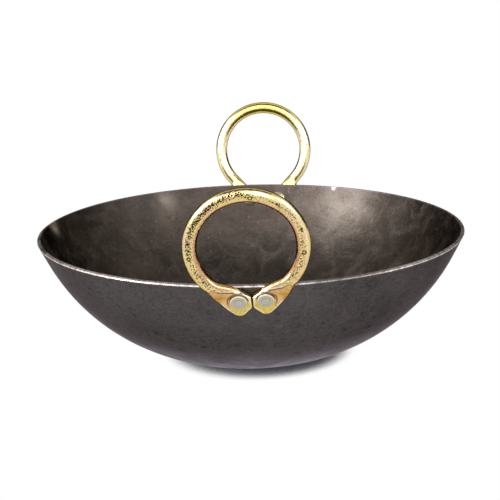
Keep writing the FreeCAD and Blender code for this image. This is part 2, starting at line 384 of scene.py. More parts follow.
def closed_piece(name, grid, layers, material):
    """A closed mesh from a grid of rings, its two ends shut, with a number per point for each layer."""
    rows, columns = grid.shape[:2]
    corner = np.arange(rows * columns).reshape(rows, columns)
    beside = np.roll(corner, -1, axis=1)
    quads = np.stack([corner[:-1], beside[:-1], beside[1:], corner[1:]], axis=-1).reshape(-1, 4)
    faces = quads.tolist()
    for row, middle in ((0, rows * columns), (-1, rows * columns + 1)):
        faces += [(*pair, middle) for pair in zip(corner[row].tolist(), beside[row].tolist())]
    points = np.concatenate([grid.reshape(-1, 3), grid[[0, -1]].mean(axis=1)])
    mesh = bpy.data.meshes.new(name)
    mesh.from_pydata(points.tolist(), [], faces)
    shape = bmesh.new()
    shape.from_mesh(mesh)
    bmesh.ops.recalc_face_normals(shape, faces=shape.faces)
    shape.to_mesh(mesh)
    shape.free()
    mesh.shade_smooth()
    for key, values in layers.items():
        full = np.concatenate([values.reshape(-1), values[[0, -1]].mean(axis=1)])
        attribute = mesh.attributes.new(key, "FLOAT", "POINT")
        attribute.data.foreach_set("value", full.astype(np.float32))
    mesh.materials.append(material)
    return new_object(name, mesh)


# Materials

def add(tree, kind, inputs=None, **settings):
    """A shader node with its settings, and its inputs given as values or as other nodes' sockets."""
    made = tree.nodes.new("ShaderNode" + kind)
    for key, value in settings.items():
        setattr(made, key, value)
    for key, value in (inputs or {}).items():
        if isinstance(value, bpy.types.NodeSocket):
            tree.links.new(value, made.inputs[key])
        else:
            made.inputs[key].default_value = value
    return made


def mixed(tree, factor, first, second):
    """Colour socket that goes from the first colour to the second by the factor."""
    inputs = {0: factor}
    # the two colours are the Mix node's inputs 6 and 7
    for number, colour in ((6, first), (7, second)):
        inputs[number] = (*colour, 1.0) if isinstance(colour, tuple) else colour
    return add(tree, "Mix", inputs, data_type="RGBA").outputs[2]


def ranged(tree, value, low, high, out_low=0.0, out_high=1.0):
    """Number socket that maps low to out_low and high to out_high, smoothly, and stays in between."""
    inputs = {"Value": value, "From Min": low, "From Max": high, "To Min": out_low, "To Max": out_high}
    return add(tree, "MapRange", inputs, interpolation_type="SMOOTHSTEP").outputs[0]


def maths(tree, operation, first, second):
    return add(tree, "Math", {0: first, 1: second}, operation=operation).outputs[0]


def times(tree, first, second):
    return maths(tree, "MULTIPLY", first, second)


def speckle(tree, vector, scale, detail, roughness, distortion=0.0):
    inputs = {"Vector": vector, "Scale": scale, "Detail": detail, "Roughness": roughness}
    return add(tree, "TexNoise", {**inputs, "Distortion": distortion}).outputs[0]


def stretched(tree, vector, scale):
    return add(tree, "Mapping", {"Vector": vector, "Scale": scale}).outputs[0]


def layer(tree, name):
    return add(tree, "Attribute", attribute_name=name).outputs["Fac"]


def begin_material(name):
    material = bpy.data.materials.new(name)
    material.use_nodes = True
    material.node_tree.nodes.clear()
    return material, material.node_tree


def object_place(tree):
    return add(tree, "TexCoord").outputs["Object"]


def end_material(tree, inputs, bumps):
    """The surface shader, with bumps given as (height socket, strength, distance)."""
    normal = None
    for height, strength, distance in bumps:
        bump = {"Height": height, "Strength": strength, "Distance": distance}
        if normal is not None:
            bump["Normal"] = normal
        normal = add(tree, "Bump", bump).outputs[0]
    shader = add(tree, "BsdfPrincipled", {**inputs, "Normal": normal})
    add(tree, "OutputMaterial", {"Surface": shader.outputs[0]})


def steel_material():
    """Raw dark sheet: mottled grey-brown, finely grained, worn to bare metal at the rim."""
    material, tree = begin_material("raw_steel")
    place = object_place(tree)
    clouds = speckle(tree, place, 16.0, 5.0, 0.6, 0.6)
    patches = speckle(tree, place, 55.0, 6.0, 0.66, 0.5)
    streaks = speckle(tree, stretched(tree, place, (1.0, 1.0, 1.6)), 300.0, 5.0, 0.65, 0.4)
    grain = speckle(tree, place, 700.0, 3.0, 0.7)
    scratch = speckle(tree, stretched(tree, place, (1.0, 1.0, 0.35)), 420.0, 3.0, 0.65, 0.8)
    rub = speckle(tree, place, 330.0, 4.0, 0.65)
    inside = layer(tree, "inside")
    outside = maths(tree, "SUBTRACT", 1.0, inside)
    sideways, _, height = add(tree, "SeparateXYZ", {0: place}).outputs
    # painted light: the outside is painted lighter to the left, where more light falls, and near the
    # base as a painted bounce from the floor; the inside is browner
    outer = mixed(tree, ranged(tree, clouds, 0.3, 0.7), outside_dark, outside_grey)
    outer = mixed(tree, ranged(tree, sideways, 0.10, -0.14, 0.0, 0.4), outer, outside_left_painted_light)
    base_painted_bounce = ranged(tree, height, 0.045, 0.006, 0.0, 0.85)
    outer = mixed(tree, base_painted_bounce, outer, outside_low_painted_bounce)
    inner = mixed(tree, ranged(tree, clouds, 0.35, 0.68), inside_dark, inside_brown)
    colour = mixed(tree, inside, outer, inner)
    colour = mixed(tree, ranged(tree, patches, 0.45, 0.72, 0.0, 0.5), colour, patch_brown)
    colour = mixed(tree, ranged(tree, streaks, 0.48, 0.70, 0.0, 0.5), colour, streak_dark)
    colour = mixed(tree, ranged(tree, scratch, 0.60, 0.75, 0.0, 0.4), colour, scratch_grey)
    coarse = times(tree, ranged(tree, grain, 0.45, 0.70, 0.0, 0.35), outside)
    colour = mixed(tree, coarse, colour, grain_grey)
    # dark spots, and painted shade in the dents, darken the colour and the reflection tint
    spot_and_dent_shade_mask = times(tree, layer(tree, "spot_and_dent_shade"), ranged(tree, patches, 0.35, 0.6))
    colour = mixed(tree, spot_and_dent_shade_mask, colour, spot_and_dent_shade_black)
    # pale rubbed patches inside, and a painted sheen in the widest of them, which also whitens the
    # reflection tint
    rub_and_sheen = times(tree, layer(tree, "rubbed_and_sheen"), ranged(tree, patches, 0.30, 0.62))
    colour = mixed(tree, rub_and_sheen, colour, rubbed_and_sheen_pale)
    # the rim, bare where it is rubbed
    bare = times(tree, layer(tree, "wear"), ranged(tree, rub, 0.22, 0.50, 0.55, 1.0))
    bright = mixed(tree, ranged(tree, rub, 0.35, 0.65), bare_dull, bare_bright)
    colour = mixed(tree, bare, colour, bright)
    dull = ranged(tree, patches, 0.32, 0.70, 0.36, 0.54)
    rough = maths(tree, "SUBTRACT", dull, times(tree, bare, 0.12))
    # near the base the reflection tint is raised along with the painted bounce
    edge_tint = mixed(tree, base_painted_bounce, outside_tint, low_tint)
    edge_tint = mixed(tree, inside, edge_tint, inside_tint)
    edge_tint = mixed(tree, spot_and_dent_shade_mask, edge_tint, spot_and_dent_shade_tint)
    edge_tint = mixed(tree, maths(tree, "MAXIMUM", bare, rub_and_sheen), edge_tint, white)
    inputs = {"Base Color": colour, "Roughness": rough, "Metallic": 1.0, "Specular Tint": edge_tint}
    bumps = ((grain, 0.2, 0.3 * mm), (scratch, 0.25, 0.3 * mm), (patches, 0.28, 1.0 * mm))
    end_material(tree, inputs, bumps)
    return material


def gold_material():
    """Yellow plating on forged rod: gold with pink, orange and green tints, dark in its pits.

    The rod's inner side is painted pinker as a painted reflection of the bowl's inside, and a worn ridge
    of paler gold beside it also carries a painted highlight. A painted highlight band runs beside the
    speckles, painted shade lines the rod's inner and outer edges, and the grooves round the rivets are
    painted dark as shade.
    """
    material, tree = begin_material("gold_plated_steel")
    place = object_place(tree)
    tint = speckle(tree, place, 75.0, 4.0, 0.6, 1.0)
    other = speckle(tree, place, 47.0, 3.0, 0.5, 0.8)
    fine = speckle(tree, place, 800.0, 4.0, 0.7)
    freckle = speckle(tree, place, 1300.0, 2.0, 0.5)
    flat = layer(tree, "flat")
    on_rod = {0: layer(tree, "along"), 1: layer(tree, "across")}
    grinding_place = stretched(tree, add(tree, "CombineXYZ", on_rod).outputs[0], (1.0, 0.15, 1.0))
    grinding = speckle(tree, grinding_place, 1500.0, 3.0, 0.6)
    colour = mixed(tree, ranged(tree, tint, 0.42, 0.66), gold_yellow, gold_pink)
    colour = mixed(tree, ranged(tree, other, 0.50, 0.70, 0.0, 0.8), colour, gold_green)
    # painted reflection of the bowl's inside along the rod's inner side
    colour = mixed(tree, times(tree, layer(tree, "inner"), 0.85), colour, inner_copper_painted_reflection)
    facet = mixed(tree, ranged(tree, tint, 0.40, 0.62), facet_orange, facet_pink)
    colour = mixed(tree, times(tree, flat, 0.9), colour, facet)
    colour = mixed(tree, times(tree, layer(tree, "end"), 0.85), colour, end_yellow)
    # painted highlight: a cream band on the front ring and the sides of the back ring
    colour = mixed(tree, layer(tree, "painted_highlight"), colour, painted_highlight_cream)
    # painted shade: thin dark bands along the rod's inner and outer edges
    colour = mixed(tree, times(tree, layer(tree, "shade"), 0.65), colour, side_painted_shade)
    ground_dark = times(tree, flat, ranged(tree, grinding, 0.50, 0.68, 0.0, 0.6))
    colour = mixed(tree, ground_dark, colour, ground_brown)
    # worn ridge and the lugs' rounded edges, partly a painted highlight
    colour = mixed(tree, times(tree, layer(tree, "ridge"), 0.85), colour, ridge_cream_wear_and_highlight)
    colour = mixed(tree, times(tree, layer(tree, "seam"), 0.85), colour, seam_brown)
    # dark dots, close together in the speckled band and few on the ground faces
    dense = maths(tree, "ADD", freckle, times(tree, layer(tree, "speckled"), 0.19))
    few = maths(tree, "SUBTRACT", 1.0, times(tree, flat, 0.7))
    freckled = times(tree, ranged(tree, dense, 0.645, 0.67), few)
    # pits, and painted shade in the grooves round the rivet heads
    dots = maths(tree, "MAXIMUM", layer(tree, "pits_and_crevice_shade"), freckled)
    colour = mixed(tree, dots, colour, pit_and_crevice_shade_black)
    rough = maths(tree, "ADD", ranged(tree, fine, 0.3, 0.7, 0.15, 0.26), times(tree, dots, 0.35))
    metal = maths(tree, "SUBTRACT", 1.0, times(tree, dots, 0.7))
    inputs = {"Base Color": colour, "Roughness": rough, "Metallic": metal, "Specular Tint": gold_tint}
    bumps = ((fine, 0.15, 0.2 * mm), (times(tree, grinding, flat), 0.4, 0.2 * mm))
    end_material(tree, inputs, bumps)
    return material


def rivet_material():
    """Hammered rivet steel, grey-green with a gold cast at its edge and dark ring marks, painted shade
    in the crevice round each head's seat, and a painted highlight on the outer head's upper edge.
    """
    material, tree = begin_material("rivet_steel")
    place = object_place(tree)
    tint = speckle(tree, place, 260.0, 4.0, 0.6, 0.5)
    fine = speckle(tree, place, 1200.0, 3.0, 0.7)
    colour = mixed(tree, ranged(tree, tint, 0.42, 0.62), rivet_grey, rivet_green)
    colour = mixed(tree, times(tree, layer(tree, "edge"), 0.45), colour, rivet_gold)
    # painted highlight on the upper edge of the outer head
    colour = mixed(tree, layer(tree, "edge_painted_highlight"), colour, rivet_painted_highlight)
    # ring marks, tarnish, and painted shade in the crevice round each head
    colour = mixed(tree, layer(tree, "mark"), colour, rivet_mark_and_shade)
    rough = ranged(tree, fine, 0.3, 0.7, 0.32, 0.48)
    inputs = {"Base Color": colour, "Roughness": rough, "Metallic": 0.9, "Specular Tint": rivet_tint}
    end_material(tree, inputs, ((fine, 0.3, 0.2 * mm), (tint, 0.25, 0.5 * mm)))
    return material


# Bowl

def bowl_profile():
    """Rows from the middle of the inside, over the rim, to the middle of the underside.

    Each row is a point (radius, height), the way out of the metal there, how much the rim's wear
    reaches it, and whether it is inside: 1, 0, or 0.5 on the rim's edge.
    """
    uphill = np.array((math.cos(slope), math.sin(slope)))
    outward = np.array((math.sin(slope), -math.cos(slope)))
    arc_middle = np.array((base_radius, bowl_arc_radius))
    outer_corner = np.array((rim_radius, rim_height))
    inner_corner = outer_corner - outward * wall_thickness
    edge = rim_edge_radius

    def face(inside):
        """Rows of one face, from the middle of the base to the edge of the rim."""
        corner = inner_corner if inside else outer_corner
        corner_wear = inner_wear if inside else outer_wear
        side = -1 if inside else 1
        rows = []
        for share in np.linspace(0.1, 0.95, base_rows):
            point = np.array((base_radius * share, wall_thickness * inside))
            rows.append((point, np.array((0.0, -1.0)) * side, 0.0, inside))
        for angle in np.linspace(0.0, slope, arc_rows):
            way = np.array((math.sin(angle), -math.cos(angle)))
            point = arc_middle + way * (bowl_arc_radius - wall_thickness * inside)
            rows.append((point, way * side, 0.0, inside))
        # closer together near the rim
        for share in np.linspace(0.95, 0.0, straight_rows) ** 1.6:
            below = (wall_straight_length - edge) * share
            wear = corner_wear * math.exp(-below / wear_reach)
            rows.append((corner - uphill * (edge + below), outward * side, wear, inside))
        middle = corner - (uphill + outward * side) * edge
        for share in np.linspace(0.0, 1.0, edge_rows):
            angle = share * math.pi / 2
            way = outward * side * math.cos(angle) + uphill * math.sin(angle)
            wear = corner_wear + (middle_wear - corner_wear) * share ** 2
            rows.append((middle + way * edge, way, wear, inside))
        return rows

    rows = face(1)
    for share in (0.25, 0.5, 0.75):
        across = edge + (wall_thickness - 2 * edge) * share
        wear = middle_wear + (outer_wear - middle_wear) * share ** 3
        rows.append((inner_corner + outward * across, uphill, wear, 0.5))
    rows += face(0)[::-1]
    return [np.array(column) for column in zip(*rows)]


def build_bowl(material):
    points, normals, wear, inside = bowl_profile()
    azimuths = np.linspace(0.0, 2 * math.pi, bowl_columns, endpoint=False)
    around = np.stack([np.cos(azimuths), np.sin(azimuths), np.zeros(bowl_columns)], axis=1)

    def turned(pairs):
        return pairs[:, 0, None, None] * around + pairs[:, 1, None, None] * up

    grid = turned(points)
    out = turned(normals)
    heights = points[:, 1]
    outer_rows = inside == 0
    inner_rows = inside == 1

    def spot(rows, azimuth, height, radius):
        """1 at this place on one face of the bowl, fading over the radius, and 0 on the other."""
        angle = math.radians(azimuth)
        row = np.argmin(np.where(rows, np.abs(heights - height), 1.0))
        middle = np.array((points[row, 0] * math.cos(angle), points[row, 0] * math.sin(angle), height))
        return np.where(rows[:, None], faded(np.linalg.norm(grid - middle, axis=2), radius), 0.0)

    # the waves go through both faces
    calm = np.clip(heights / wave_growth, 0, 1) * np.clip((rim_height - heights) / wave_decay, 0, 1)
    side = np.where(inner_rows, -1.0, 1.0)
    shift = field(grid, wave_size, 1.0) * wave_height * (calm * side)[:, None]
    # dark spots, and painted shade in each dent
    spot_and_dent_shade = sum(strength * spot(outer_rows, *place) for *place, strength in dark_spots)
    for azimuth, height, radius, depth in dents:
        dent = spot(outer_rows, azimuth, height, radius)
        shift -= depth * dent
        spot_and_dent_shade += dent_painted_shade * dent
    draw = np.random.default_rng(7)
    for _ in range(small_dents):
        azimuth = draw.uniform(-180, 180)
        height = draw.uniform(*small_dent_heights)
        radius = draw.uniform(*small_dent_radii)
        depth = draw.uniform(*small_dent_depths)
        dent = spot(outer_rows, azimuth, height, radius)
        shift -= radius * depth * dent
        spot_and_dent_shade += small_dent_painted_shade * depth * dent
    shaped = grid + out * shift[:, :, None]
    turn = (np.degrees(azimuths) + 180) % 360 - 180
    worn = np.interp(turn, *zip(*rim_wear_round)) + faded(turn - nick_azimuth, nick_width)
    nick = nick_strength * spot(inner_rows, nick_azimuth, rim_height - nick_drop, nick_radius)
    layers = {
        "wear": np.minimum(wear[:, None] * worn + nick, 1.0),
        "inside": np.repeat(inside[:, None], bowl_columns, axis=1),
        "rubbed_and_sheen": sum(strength * spot(inner_rows, *place) for *place, strength in rubbed_patches_and_sheen),
        "spot_and_dent_shade": spot_and_dent_shade,
    }
    bowl = closed_piece("bowl_sheet", shaped, layers, material)
    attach(bowl, "root")
    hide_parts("bowl")


# Handles

# A bar's section: how far it reaches inward, outward, to the front and to the back of its middle,
# and the radius of its corners
Bar = namedtuple("Bar", "inner outer body back corner")
# A place along a handle: its middle point, the directions inward and to the front, its section, and
# how far along the lug it lies from the rivet, below 0 towards the ring
Station = namedtuple("Station", "point inward front bar along")


class WallPlace:
    """A place on the bowl's outer wall, with the directions along, up and out of the wall."""

    def __init__(self, azimuth, drop):
        self.out = np.array((math.cos(azimuth), math.sin(azimuth), 0.0))
        self.side = np.cross(up, self.out)
        self.uphill = self.out * math.cos(slope) + up * math.sin(slope)
        self.normal = self.out * math.sin(slope) - up * math.cos(slope)
        self.radius = rim_radius - drop * math.cos(slope)
        self.point = self.out * self.radius + up * (rim_height - drop * math.sin(slope))

    def at(self, height):
        return self.point + self.normal * height


def turned_pair(side, uphill, tilt):
    return (side * math.cos(tilt) + uphill * math.sin(tilt),
            uphill * math.cos(tilt) - side * math.sin(tilt))


class HandlePlan:
    """Where one handle's rivets, ring and legs lie, as in the solid model."""

    def __init__(self, azimuth, tilt, rivet_spacing, rivet_drop):
        middle = WallPlace(azimuth, rivet_drop)
        self.tilt = tilt
        self.rivet_spacing = rivet_spacing
        self.rivets = {}
        for sign in (-1, 1):
            offset = sign * rivet_spacing / 2
            turn = offset * math.cos(tilt) / middle.radius
            self.rivets[sign] = WallPlace(azimuth + turn, rivet_drop - offset * math.sin(tilt))
        ring_uphill = middle.out * math.sin(ring_lean) + up * math.cos(ring_lean)
        self.axis = middle.out * math.cos(ring_lean) - up * math.sin(ring_lean)
        self.side, self.up = turned_pair(middle.side, ring_uphill, tilt)
        wall_up = turned_pair(middle.side, middle.uphill, tilt)[1]
        neck = middle.at(rod_radius + neck_clearance) + wall_up * rivet_drop
        self.centre = neck + self.up * ring_rise
        leg_rise = ring_rise + rivet_drop - ring_radius * math.cos(leg_angle)
        leg_run = ring_radius * math.sin(leg_angle) - rivet_spacing / 2
        self.lug_angle = math.atan2(leg_rise, leg_run)

    def lug_line(self, sign):
        """A lug's middle line: its point beside the rivet, and its direction to the lug's end."""
        rivet = self.rivets[sign]
        side, uphill = turned_pair(rivet.side, rivet.uphill, self.tilt)
        way = side * (-sign * math.cos(self.lug_angle)) - uphill * math.sin(self.lug_angle)
        outside = np.cross(rivet.normal, way) * sign
        return rivet.at(lug_middle) + outside * lug_shift, way


def even_section(outline):
    """The closed outline's points again, evenly spaced."""
    outline = np.concatenate([outline, outline[:1]])
    lengths = np.concatenate([[0.0], np.cumsum(np.linalg.norm(np.diff(outline, axis=0), axis=1))])
    wanted = np.linspace(0.0, lengths[-1], section_columns, endpoint=False)
    return np.stack([np.interp(wanted, lengths, outline[:, k]) for k in (0, 1)], axis=1)


def section(bar, facet, slant):
    """Points round the rod or lug, from the middle of its inner side over its front.

    A rounded bar, cut off flat at the back, and at the front by the facet's plane, which rises
    inward by the slant. The second result is 1 on the facet.
    """
    corner = min(bar.corner, bar.body, (bar.inner + bar.outer) / 2)
    quarter = np.linspace(0.0, math.pi / 2, 25)
    corners = (
        (bar.inner - corner, bar.body - corner, 0.0),
        (corner - bar.outer, bar.body - corner, math.pi / 2),
        (corner - bar.outer, corner - bar.body, math.pi),
        (bar.inner - corner, corner - bar.body, 1.5 * math.pi),
    )
    outline = [(bar.inner, 0.0)]
    for inward, forward, start in corners:
        for turn in start + quarter:
            outline.append((inward + corner * math.cos(turn), forward + corner * math.sin(turn)))
    points = even_section(np.array(outline))
    plane = facet + slant * points[:, 0]
    cut = np.clip((points[:, 1] - plane) / (0.1 * mm) + 0.6, 0.0, 1.0)
    points[:, 1] = -soft_least(-soft_least(points[:, 1], plane, facet_edge), bar.back, facet_edge)
    return points, cut


def leg_stations(plan, sign):
    """Stations of one leg, on a cubic curve from the ring to the start of its lug."""
    spoke = plan.side * (sign * math.sin(leg_angle)) - plan.up * math.cos(leg_angle)
    start = plan.centre + spoke * ring_radius
    start_way = plan.side * (-sign * math.cos(leg_angle)) - plan.up * math.sin(leg_angle)
    line, end_way = plan.lug_line(sign)
    end = line - end_way * lug_flat_length
    length = np.linalg.norm(end - start)
    lug_sizes = np.array((lug_neck_width / 2, half_lug + ridge_height, half_lug))
    stations = []
    for share in np.linspace(0.0, 1.0, leg_rows, endpoint=False)[1:]:
        blend = eased(share)
        point = start * (1 - blend) + end * blend
        point = point + start_way * (length * share * (1 - share) ** 2)
        point = point - end_way * (length * share ** 2 * (1 - share))
        way = (end - start) * (6 * share * (1 - share))
        way = way + start_way * (length * (1 - share) * (1 - 3 * share))
        way = unit(way + end_way * (length * share * (3 * share - 2)))
        front = plan.axis * (1 - blend) + plan.rivets[sign].normal * blend
        front = unit(front - way * front.dot(way))
        half_width, body, back = rod_radius + (lug_sizes - rod_radius) * blend
        bar = Bar(half_width, half_width, body, back, body)
        along = -lug_flat_length - length * (1 - share)
        stations.append(Station(point, np.cross(way, front) * sign, front, bar, along))
    return stations


def corner_drop(along, radius):
    """How much a corner of this radius at the lug's end takes off at this place along the lug."""
    past = along - (lug_end_length - radius)
    return radius - math.sqrt(max(radius ** 2 - max(past, 0.0) ** 2, 0.0))


def lug_stations(plan, sign):
    """Stations of one lug, from its start at the leg, closer and closer towards its end."""
    line, way = plan.lug_line(sign)
    normal = plan.rivets[sign].normal
    inward = np.cross(way, normal) * sign
    whole = lug_flat_length + lug_end_length
    stations = []
    for share in np.linspace(0.0, 1.0, lug_rows):
        along = -lug_flat_length + whole * math.sin(share * math.pi / 2)
        widening = (lug_width - lug_neck_width) * (along + lug_flat_length) / whole
        outer = (lug_neck_width + widening) / 2 - corner_drop(along, lug_end_radius)
        # the inner corner is trimmed beside the other lug
        trim = (plan.rivet_spacing - lug_gap) / 2 - along * math.cos(plan.lug_angle)
        inner = soft_least(outer, trim / math.sin(plan.lug_angle) + lug_shift, trim_rounding)
        back = half_lug - corner_drop(along, lug_rounding)
        ridge = ridge_height * (1 - stepped(along, -lug_flat_length, lug_end_length))
        corner = lug_rounding + (half_lug - lug_rounding) * (1 - stepped(along, -lug_flat_length, 0.0))
        bar = Bar(inner, outer, back + ridge, back, corner)
        stations.append(Station(line + way * along, inward, normal, bar, along))
    return stations


def handle_stations(plan):
    """All stations of a handle, from the left lug's end to the right one's."""
    stations = (leg_stations(plan, -1) + lug_stations(plan, -1))[::-1]
    rod = Bar(*[rod_radius] * len(Bar._fields))
    for turn in np.linspace(leg_angle, 2 * math.pi - leg_angle, ring_rows):
        spoke = plan.side * -math.sin(turn) - plan.up * math.cos(turn)
        ahead = ring_radius * min(turn - leg_angle, 2 * math.pi - leg_angle - turn)
        point = plan.centre + spoke * ring_radius
        stations.append(Station(point, -spoke, plan.axis, rod, -facet_start - ahead))
    return stations + leg_stations(plan, 1) + lug_stations(plan, 1)


def ridge_wear_and_highlight(along):
    """How strongly the ridge beside the rod's inner side is drawn worn, with a painted highlight: most
    along the legs, least at the top.
    """
    return 0.25 * stepped(along, -90 * mm, -35 * mm) + 0.6 * stepped(along, -26 * mm, -12 * mm)


def surface_layers(station, points, cut):
    """The numbers that the material reads at one station's points."""
    along = station.along
    in_front = points[:, 1] > 0
    inward_share = points[:, 0] / station.bar.inner
    border_share = np.maximum(inward_share, -points[:, 0] / station.bar.outer)
    on_lug = stepped(along, -lug_flat_length - 2 * mm, -lug_flat_length + 2 * mm)
    # the ridge, worn and with a painted highlight, runs from the rod's front to the lug's inner edge,
    # and goes on round the lug, whose rounded edges get the painted highlight too
    moved = stepped(along, -facet_start, -lug_flat_length)
    ridge_share = ridge_share_on_rod + (ridge_share_on_lug - ridge_share_on_rod) * moved
    worn = faded(inward_share - ridge_share, ridge_share_width) * ridge_wear_and_highlight(along)
    rounded_off_highlight = np.maximum(stepped(border_share, 0.84, 0.93), stepped(along, 7.6 * mm, 8.8 * mm))
    # the leg is ground from its outer side to the ridge, with a dark seam round the ground face
    spread = stepped(along, -facet_start - facet_fade, -15 * mm)
    reach = -0.8 + (ridge_share + 0.7) * spread
    ground = (inward_share < reach) & (inward_share > -0.9) & (along > -facet_start - facet_fade)
    cut = np.maximum(cut, ground & in_front)
    seam = np.maximum(np.abs(np.roll(cut, 1) - cut), np.abs(np.roll(cut, -1) - cut))
    seam = np.maximum(seam, np.maximum(np.roll(seam, 1), np.roll(seam, -1)))
    face = stepped(points[:, 1], half_lug - 0.35 * mm, half_lug - 0.1 * mm)
    # painted shade: thin dark bands at the rod's inner and outer edges
    sides = np.maximum(stepped(inward_share, 0.90, 0.99), stepped(-inward_share, 0.93, 0.995))
    return {
        "flat": np.maximum(cut, face * on_lug),
        # inner: a painted reflection of the bowl's inside
        "inner": stepped(inward_share, ridge_share + 0.08, ridge_share + 0.18) * (1 - on_lug),
        # ridge: wear and a painted highlight
        "ridge": np.maximum(worn, 0.9 * rounded_off_highlight * on_lug) * in_front,
        "seam": seam * (1 - on_lug),
        "end": np.full(section_columns, stepped(along, -2 * mm, 4 * mm)),
        "across": points[:, 0],
        # shade: painted shade along the rod's edges
        "shade": sides * (1 - on_lug),
    }


def handle_grid(plan):
    """The handle's surface as rings of points, with the numbers that its material reads."""
    stations = handle_stations(plan)
    steps = np.diff([station.point for station in stations], axis=0)
    travelled = np.concatenate([[0.0], np.cumsum(np.linalg.norm(steps, axis=1))])
    rise = rod_radius * math.sqrt(1 + facet_slant ** 2) - half_lug
    rows = []
    row_layers = []
    for station in stations:
        slant = facet_slant * (1 - stepped(station.along, -9 * mm, -1 * mm))
        away = np.clip((-station.along - lug_flat_length) / (facet_start - lug_flat_length), 0.0, 1.5)
        points, cut = section(station.bar, half_lug + rise * away, slant)
        rows.append(station.point + points[:, :1] * station.inward + points[:, 1:] * station.front)
        row_layers.append(surface_layers(station, points, cut))
    layers = {key: np.array([row[key] for row in row_layers]) for key in row_layers[0]}
    layers["along"] = np.repeat(travelled[:, None], section_columns, axis=1)
    return np.array(rows), layers


def ring_turns(rows):
    """How far round the ring each row of a handle lies, in degrees from its neck."""
    return first_turn + (np.arange(rows) - first_ring_row) * turns_per_row


def speckle_line(turns):
    """The share at which the middle of the front ring's speckles runs."""
    return np.interp(turns, speckled_turns, speckled_shares)


def band(turns, offset, spread):
    """1 along the line of the speckles, moved by the offset, fading to both sides."""
    middles = speckle_line(turns) + offset
    shares = np.arange(section_columns) / section_columns
    return faded(shares - middles[:, None], spread)


def painted_highlight_sides(turns):
    """1 at both sides of the back ring, where a cream painted highlight goes, and 0 at its top."""
    sides = np.abs(np.sin(np.radians(np.clip(turns, 35, 325)))) ** 3
    return np.repeat(sides[:, None], section_columns, axis=1)


def painted_highlight_band(turns):
    """1 in the painted highlight band that runs outside the front ring's speckles, less at the ring's
    top.
    """
    reach = stepped(turns, *pale_start) * (1 - stepped(turns, *pale_end))
    reach *= 1 - 0.7 * faded(turns - pale_gap, pale_gap_width)
    return reach[:, None] * band(turns, pale_offset, pale_spread)


def speckled_band(turns):
    """How densely a handle is speckled at each of its points."""
    density = np.interp(turns, *zip(*speckle_density))
    return density[:, None] * band(turns, 0.0, speckle_spread)


class Pits:
    """Depth and darkness of the pits in a handle's surface."""

    def __init__(self, grid):
        self.grid = grid
        self.depth = np.zeros(grid.shape[:2])
        self.dark = np.zeros(grid.shape[:2])

    def add(self, turn, share, radius, darkness, ring=False):
        row = first_ring_row + (turn - first_turn) / turns_per_row
        row = int(np.clip(row, 0, len(self.grid) - 1))
        near = slice(max(row - pit_reach_rows, 0), row + pit_reach_rows + 1)
        middle = self.grid[row, int(section_columns * share) % section_columns]
        distance = np.linalg.norm(self.grid[near] - middle, axis=2)
        if ring:
            mask = 1 - stepped(np.abs(distance - radius), 0.15 * radius, 0.6 * radius)
        else:
            mask = 1 - stepped(distance, 0.5 * radius, 1.1 * radius)
        self.depth[near] += mask * radius * pit_depth * darkness
        self.dark[near] = np.maximum(self.dark[near], mask * darkness)

    def scatter(self, groups, radii, darkness, line, seed):
        """Specks at random along a line, which gives a share for each turn."""
        draw = np.random.default_rng(seed)
        for first, last, spread, count in groups:
            for turn in draw.uniform(first, last, count):
                share = line(turn) + draw.normal(0.0, spread)
                self.add(turn, share, draw.uniform(*radii), draw.uniform(*darkness))


def front_pits(grid):
    """The larger pits, rows of dots and specks of the front handle."""
    pits = Pits(grid)
    for place in ring_pits:
        pits.add(*place, mark_darkness, ring=True)
    for place in deep_pits:
        pits.add(*place, mark_darkness)
    for first, last, first_share, last_share, count in dotted_rows:
        shares = np.linspace(first_share, last_share, count)
        for turn, share in zip(np.linspace(first, last, count), shares):
            pits.add(turn, share, dot_radius, mark_darkness)
    pits.scatter(*front_specks, speckle_line, seed=5)
    return pits


def back_pits(grid):
    pits = Pits(grid)
    pits.scatter(*back_specks, lambda turn: back_speck_share, seed=6)
    return pits


def hammer_grooves_and_shade(grid, plan):
    """Curved grooves on the lugs, above each rivet, where its head was struck, painted dark as shade in
    the crevice by the head.
    """
    marks = np.zeros(grid.shape[:2])
    for sign, rivet in plan.rivets.items():
        offset = grid - rivet.at(lug_middle + half_lug)
        flat = offset - (offset @ rivet.normal)[..., None] * rivet.normal
        radius = np.linalg.norm(flat, axis=2)
        over = flat @ rivet.uphill / np.maximum(radius, 1e-9)
        outer = flat @ rivet.side * sign / np.maximum(radius, 1e-9)
        near = np.abs(offset @ rivet.normal) < 1.0 * mm
        for groove, way in ((upper_groove, over), (outer_groove, (over + outer) * 0.7)):
            groove_radius, width, strength = groove
            marks += strength * faded(radius - groove_radius, width) * stepped(way, -0.1, 0.6) * near
    return np.minimum(marks, 1.2)


